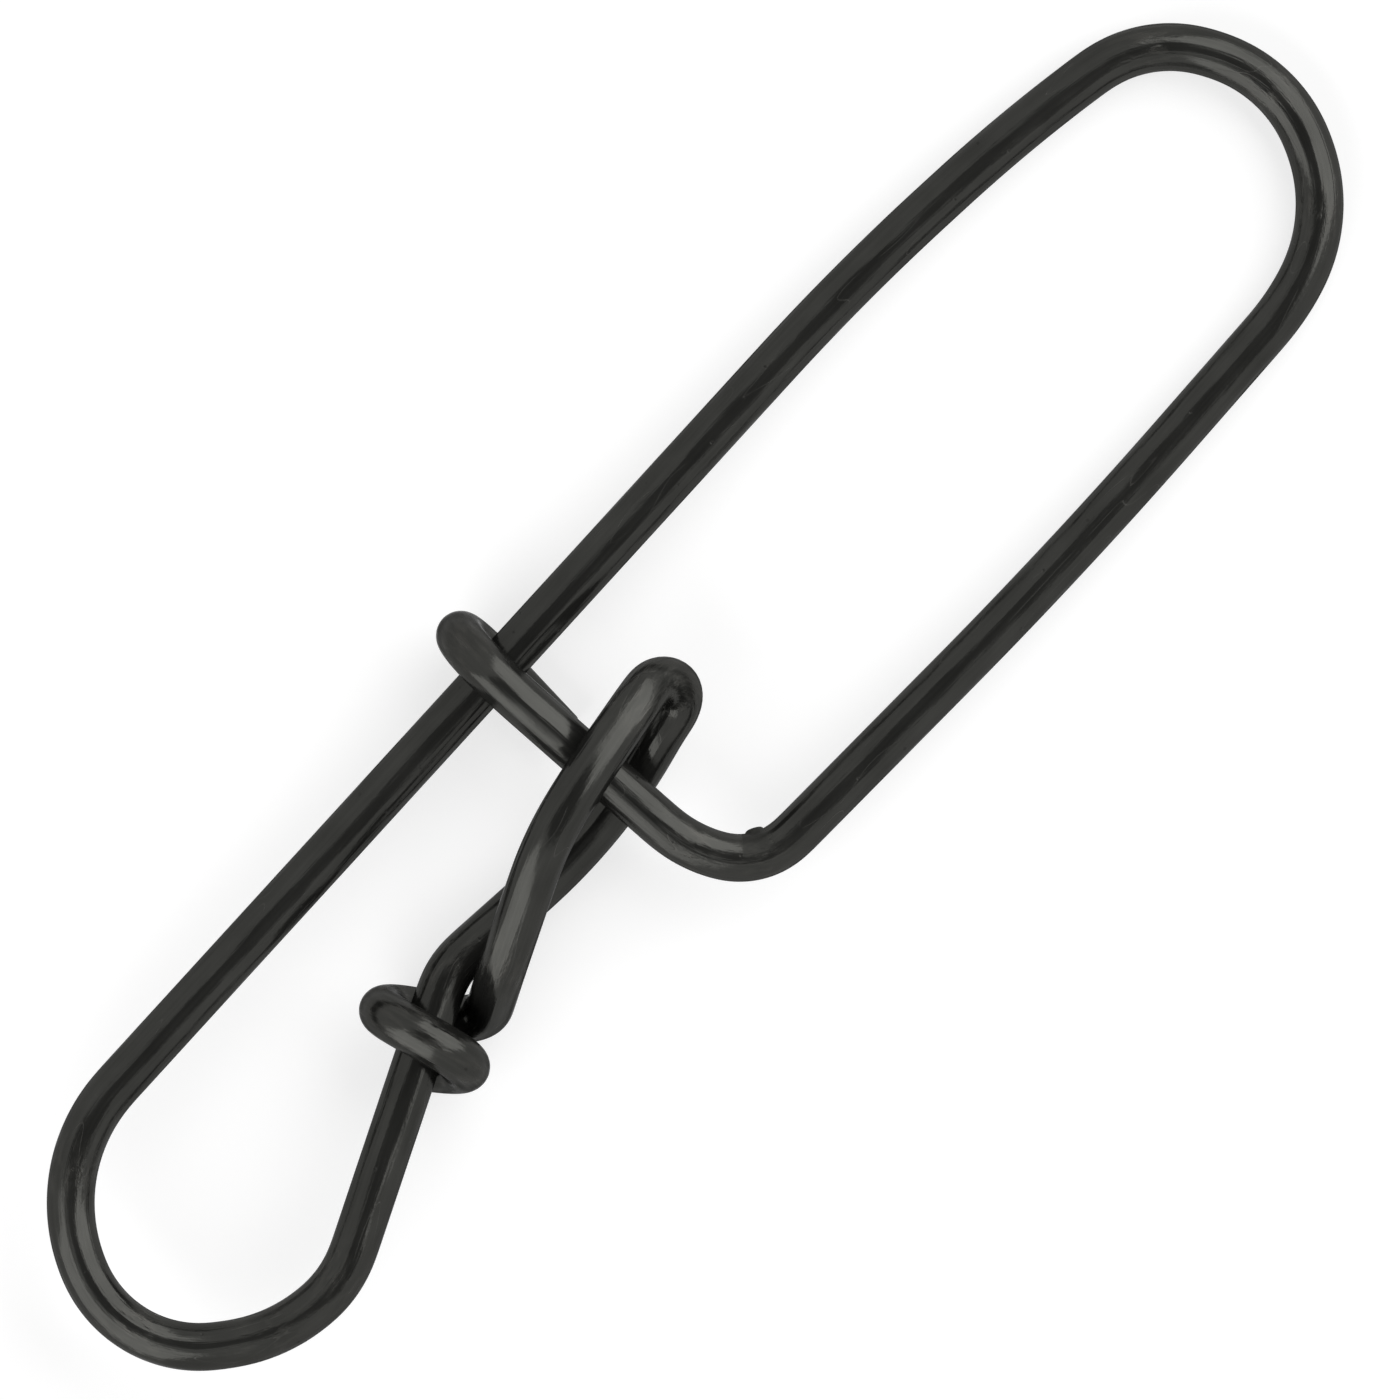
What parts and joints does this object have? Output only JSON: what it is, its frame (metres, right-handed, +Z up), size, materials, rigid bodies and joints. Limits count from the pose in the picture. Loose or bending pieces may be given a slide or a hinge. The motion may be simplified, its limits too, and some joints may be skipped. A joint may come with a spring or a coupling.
{
  "type": "fishing lure snap",
  "caption": "One-piece bent wire snap: a long loop closed by a hook that crosses the straight spine, and a small line loop whose end is an eye wound on its own shank.",
  "frame": {"origin": "middle of the box's underside, on the surface that the snap lies on", "axes": "+X along the straight spine from the small loop to the big loop, +Y across the snap to the hook's side, +Z up, out of the face that the crossbar passes over"},
  "size_m": [0.0432, 0.011, 0.0049],
  "materials": {
    "dark_wire": "glossy black nickel plating on drawn spring steel wire"
  },
  "bodies": {
    "root": {"snap_wire": "dark_wire"}
  },
  "joints": []
}
